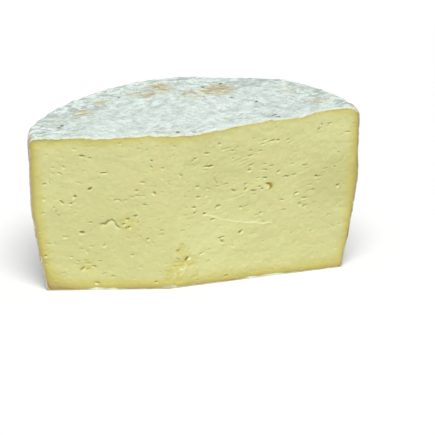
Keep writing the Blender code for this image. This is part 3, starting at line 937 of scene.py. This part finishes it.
rind = closed_tube(
    "rind",
    rind_rings,
    rind_rings[0].mean(axis=0),
    rind_rings[-1].mean(axis=0),
    {
        "relief": over_all(relief),
        "tan": over_all(tan),
        "speck": over_all(np.maximum(specks, 0.35 * crack)),
        "top": np.broadcast_to(np.maximum(on_top, lumps), rind_rings.shape[:2]),
        "worn": over_all(worn),
        "pale": over_all(pale),
        "rim": over_all(0.5 * near_cut * on_top, 1.0),
        "smear": over_all(smear * (1 - smooth_step(TOP_RIM - 0.3, TOP_RIM, rind_path))),
    },
)
rind.data.set_sharp_from_angle(angle=SHARP_ANGLE)

# The rind's finish: a chalky, grey-white bloom with a cool cast, mottled grey and white, and
# pinkish where it is worn, on the side and round the top's rim; tan and brown where the
# crust shows, with small dark pits. Painted shade darkens its creases, in the relief and
# along drawn strokes, hairlines and grit, and painted highlight whitens the relief's crests.
# Its cut edge is cream.
BLOOM = (0.592, 0.68, 0.637, 1.0)
BLOOM_WHITE = (0.73, 0.83, 0.79, 1.0)
SIDE_WHITE = (0.80, 0.82, 0.71, 1.0)
BLOOM_GREY = (0.47, 0.545, 0.495, 1.0)
BLOOM_WARM = (0.63, 0.665, 0.585, 1.0)
BLOOM_PINK = (0.47, 0.45, 0.39, 1.0)
SIDE_BLOOM = (0.66, 0.69, 0.56, 1.0)
CRUST_TAN = (0.515, 0.49, 0.305, 1.0)
CRUST_BROWN = (0.37, 0.29, 0.20, 1.0)
# Painted shade of the creases, on the top and on the side.
CREASE_SHADE = (0.38, 0.44, 0.395, 1.0)
SIDE_CREASE_SHADE = (0.38, 0.37, 0.31, 1.0)
SPECK = (0.075, 0.065, 0.05, 1.0)
TOP_CUT_EDGE = (0.75, 0.79, 0.64, 1.0)
SIDE_CUT_EDGE = (0.47, 0.40, 0.26, 1.0)
RIND_ALL_OVER = {"Roughness": 0.9, "Specular IOR Level": 0.3}
FELT_DEPTH = 0.9 * MM
STROKE_SHAPE = (2.6, 1.0, 1.0)  # how the strokes of the wrinkles are drawn out
HAIRLINE = 0.0005  # how wide the hairlines are, as a share of their noise squared
PORE_SIZE = 5.5 * MM

material, surface, start = new_finish("rind", RIND_ALL_OVER)
where = start.node("ShaderNodeTexCoord", output="Object")
top = mark_of(start, "top")
bare = 1 - top
# The relief's heights, read to paint highlight on its crests and shade in its creases.
relief_for_painted_light = mark_of(start, "relief")
near_rim = mark_of(start, "worn")
busy = 0.6 + near_rim * 0.45 + bare * 0.3
cloud = grain(where, 22, 4.0).between(0.4, 0.62)
net = grain(where, 8, 4.0).between(0.40, 0.60)
fine_net = grain(where, 3.4, 3.0, 0.5).between(0.44, 0.6)
streak = grain(where, 4.5, 5.0, 0.6).between(0.47, 0.62)
patch = grain(where, 12, 5.0, 0.65).between(0.47, 0.6)
grit = grain(where, 0.9, 3.0, 0.6)
white = layered(SIDE_WHITE, (BLOOM_WHITE, top))
crease_shade = layered(SIDE_CREASE_SHADE, (CREASE_SHADE, top))
colour = layered(
    BLOOM,
    (BLOOM_WARM, cloud * 0.5),
    (white, mark_of(start, "pale") * 0.95),
    (white, (1 - net) * 0.45),
    (BLOOM_GREY, net * fine_net * (0.9 - near_rim * 0.6)),
    # Painted highlight on the relief's crests.
    (white, relief_for_painted_light.between(-0.1, 0.45) * 0.5),
    (SIDE_BLOOM, bare * 0.6),
    (BLOOM_PINK, streak * (near_rim * 0.1 + bare * 0.75)),
    (BLOOM_PINK, patch * bare * 0.55),
    # Painted shade in the relief's creases.
    (crease_shade, (relief_for_painted_light * -1.0).between(0.05, 0.6) * busy * 0.7),
    (white, grit.between(0.5, 0.62) * 0.5),
    # Painted crease shade in fine dark grit.
    (crease_shade, (1 - grit.between(0.38, 0.48)) * busy * 0.3),
)
drift = grain(where, 45, 2.0).between(0.42, 0.58)
for size, turned, part in (
    (3.4, 0.9, drift),
    (3.4, -0.9, 1 - drift),
    (3.0, 0.1, near_rim),
):
    stretched = start.node(
        "ShaderNodeMapping",
        {"vector_type": "TEXTURE"},
        {"Vector": where, "Rotation": (0.0, 0.0, turned), "Scale": STROKE_SHAPE},
    )
    stroke = grain(stretched, size, 3.0, 0.5)
    colour = layered(
        colour,
        (white, stroke.between(0.5, 0.7) * part * 0.6),
        # Painted crease shade along the dark strokes.
        (crease_shade, (1 - stroke.between(0.35, 0.49)) * part * busy * 0.95),
    )
bare_crust = grain(where, 5, 4.0, 0.6) - 0.5
crust = mark_of(start, "tan") + (stroke - 0.5) * 3.2 + bare_crust * 2.6
crust = crust.between(0.25, 1.6)
crack_lines = grain(stretched, 2.0)
crackle = grain(where, 9) - 0.5
hairline = 1 - (crackle * crackle).between(0.0, HAIRLINE)
pore = start.node("ShaderNodeTexVoronoi", None, {"Vector": where, "Scale": 1 / PORE_SIZE})
thinned = grain(where, 14, 2.0).between(0.5, 0.6)
fray = grain(where, 4, 5.0, 0.65)
smeared = mark_of(start, "smear") * (fray * 3.0 - 0.6)
rim = mark_of(start, "rim") * (0.6 + fray.between(0.42, 0.56) * 0.4)
colour = layered(
    colour,
    (CRUST_TAN, crust * 0.95),
    (CRUST_BROWN, crust * crack_lines.between(0.48, 0.62) * 0.9),
    (white, crust * (1 - crack_lines.between(0.33, 0.44)) * 0.75),
    # Painted crease shade along the hairlines.
    (crease_shade, hairline * busy * 0.6),
    (SPECK, (1 - pore.between(0.05, 0.12)) * thinned * 0.6),
    (SPECK, mark_of(start, "speck") * 0.95),
    (SIDE_CUT_EDGE, smeared.between(0.25, 0.9) * 0.9),
    (layered(SIDE_CUT_EDGE, (TOP_CUT_EDGE, top)), rim),
)
colour.feeds(surface, "Base Color")
felt = grain(where, 1.5, 3.0, 0.5)
wrinkle = grain(where, 2.4, 4.0, 0.6)
bump = start.node(
    "ShaderNodeBump",
    None,
    {"Height": wrinkle + felt * 0.8, "Strength": 0.75, "Distance": FELT_DEPTH},
)
bump.feeds(surface, "Normal")
rind.data.materials.append(material)
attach(rind, "root")
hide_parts("cheese")

# The set: a plain pale floor, one wide soft light from above, and pale light all round. None
# of it is part of the cheese. The camera stands in front of the cuts and looks down at them.

FLOOR_HALF = 4.0
FLOOR_ALL_OVER = {"Base Color": (0.85, 0.85, 0.85, 1.0), "Roughness": 0.9}
floor_mesh = bpy.data.meshes.new("floor")
corners = ((-1, -1), (1, -1), (1, 1), (-1, 1))
corners = [(x * FLOOR_HALF, y * FLOOR_HALF, 0.0) for x, y in corners]
floor_mesh.from_pydata(corners, [], [(0, 1, 2, 3)])
floor = placed("floor", floor_mesh)
floor.data.materials.append(new_finish("floor", FLOOR_ALL_OVER)[0])

LIGHT_TILT = math.radians(28)  # from straight above
LIGHT_TURN = math.radians(8)  # from the front round to the right
LIGHT_WIDTH = math.radians(35)
LIGHT_STRENGTH = 3.0
light = bpy.data.lights.new("key", "SUN")
light.energy = LIGHT_STRENGTH
light.angle = LIGHT_WIDTH
key = placed("key", light)
key.rotation_euler = (LIGHT_TILT, 0.0, LIGHT_TURN)

ALL_ROUND_COLOUR = (1.0, 1.0, 1.0, 1.0)
ALL_ROUND_STRENGTH = 0.35
world = bpy.data.worlds.new("studio")
world.use_nodes = True
background = world.node_tree.nodes["Background"]
background.inputs["Color"].default_value = ALL_ROUND_COLOUR
background.inputs["Strength"].default_value = ALL_ROUND_STRENGTH
bpy.context.scene.world = world
bpy.context.scene.view_settings.view_transform = "Standard"

CAMERA_PLACE = np.array([12.9, -1075.8, 446.4]) * MM
CAMERA_DOWN = math.radians(20.575)  # how far it looks down
CAMERA_LENS = 150.0
camera_data = bpy.data.cameras.new("camera")
camera_data.lens = CAMERA_LENS
camera = placed("camera", camera_data)
camera.location = CAMERA_PLACE
camera.rotation_euler = (math.pi / 2 - CAMERA_DOWN, 0.0, 0.0)
bpy.context.scene.camera = camera
